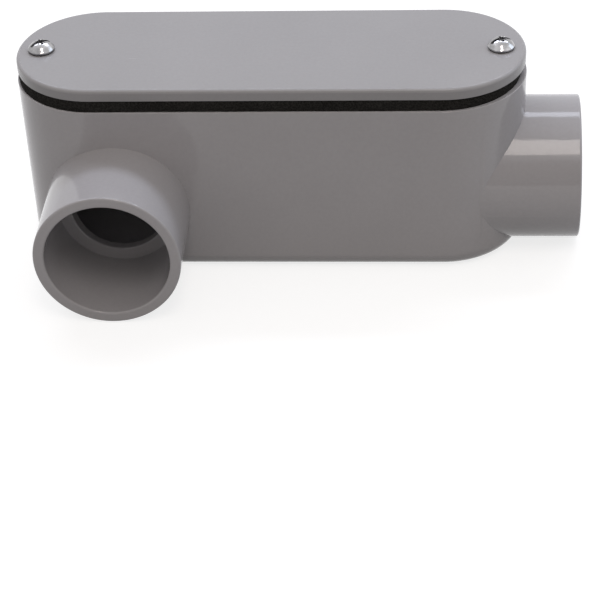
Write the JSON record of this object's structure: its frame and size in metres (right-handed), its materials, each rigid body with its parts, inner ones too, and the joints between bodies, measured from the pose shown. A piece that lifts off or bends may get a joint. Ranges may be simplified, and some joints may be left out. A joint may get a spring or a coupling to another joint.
{
  "type": "conduit body",
  "caption": "Oblong moulded conduit body with an end hub and a side hub, closed by a flat gasketed cover held by screws.",
  "frame": {"origin": "centre of the oblong body's flat back, at the middle of its length and width", "axes": "+X along the body towards the end hub, -Y towards the side hub, +Z from the back to the cover"},
  "size_m": [0.1944, 0.0885, 0.0758],
  "materials": {
    "body_plastic": "satin moulded grey",
    "cover_plastic": "satin moulded grey",
    "gasket_foam": "closed-cell foam",
    "screw_zinc": "bright zinc"
  },
  "bodies": {
    "housing": {"conduit_body": "body_plastic", "gasket": "gasket_foam"},
    "lid": {"cover": "cover_plastic"},
    "left_screw": {"cover_screw_left": "screw_zinc"},
    "right_screw": {"cover_screw_right": "screw_zinc"}
  },
  "joints": [
    {"name": "cover_lift", "type": "slide", "parent": "housing", "child": "lid", "axis": [0, 0, 1], "range_m": [0, 0.04]},
    {"name": "left_screw_out", "type": "slide", "parent": "lid", "child": "left_screw", "axis": [0, 0, 1], "range_m": [0, 0.025]},
    {"name": "right_screw_out", "type": "slide", "parent": "lid", "child": "right_screw", "axis": [0, 0, 1], "range_m": [0, 0.025]}
  ]
}
